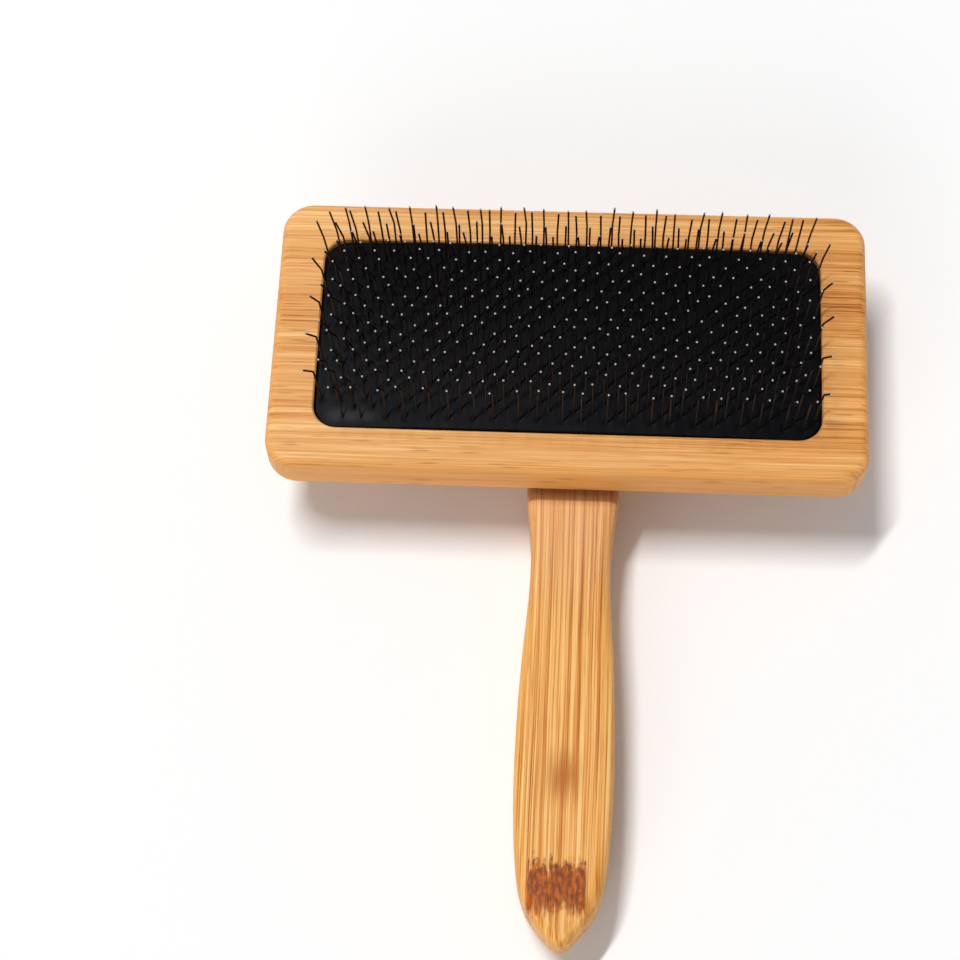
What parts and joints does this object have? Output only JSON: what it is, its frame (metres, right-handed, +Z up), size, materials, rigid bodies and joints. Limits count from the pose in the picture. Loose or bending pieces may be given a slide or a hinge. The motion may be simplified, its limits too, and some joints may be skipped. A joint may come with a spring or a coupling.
{
  "type": "slicker brush",
  "caption": "Pet slicker brush: a rectangular bamboo head with a cushioned bed of fine bent wire pins, on a bamboo handle lapped under the head.",
  "frame": {"origin": "centre of the bottom of the brush's box, as it lies on its back with the pins up; Z = 0 is the flat back of the handle", "axes": "+X across the head, +Y from the handle's tip towards the head, +Z up out of the pin bed"},
  "size_m": [0.123, 0.155, 0.042],
  "materials": {
    "bamboo_head": "laminated bamboo, grain across the head, satin lacquer",
    "bamboo_handle": "laminated bamboo, grain along the handle, satin lacquer",
    "screw_steel": "zinc-plated steel",
    "foam": "soft open foam",
    "canvas": "plain woven cotton canvas",
    "black_rubber": "smooth black rubber with a faint sheen",
    "pin_wire": "drawn steel wire, cut square at the tips"
  },
  "bodies": {
    "root": {"head_block": "bamboo_head", "handle": "bamboo_handle", "handle_screws": "screw_steel", "foam_cushion": "foam", "canvas_foundation": "canvas", "rubber_face": "black_rubber", "pin_row_01": "pin_wire", "pin_row_02": "pin_wire", "pin_row_03": "pin_wire", "pin_row_04": "pin_wire", "pin_row_05": "pin_wire", "pin_row_06": "pin_wire", "pin_row_07": "pin_wire", "pin_row_08": "pin_wire", "pin_row_09": "pin_wire", "pin_row_10": "pin_wire", "pin_row_11": "pin_wire", "pin_row_12": "pin_wire", "pin_row_13": "pin_wire", "pin_row_14": "pin_wire", "pin_row_15": "pin_wire", "pin_row_16": "pin_wire", "pin_row_17": "pin_wire", "pin_row_18": "pin_wire", "pin_row_19": "pin_wire", "pin_row_20": "pin_wire", "pin_row_21": "pin_wire"}
  },
  "joints": []
}
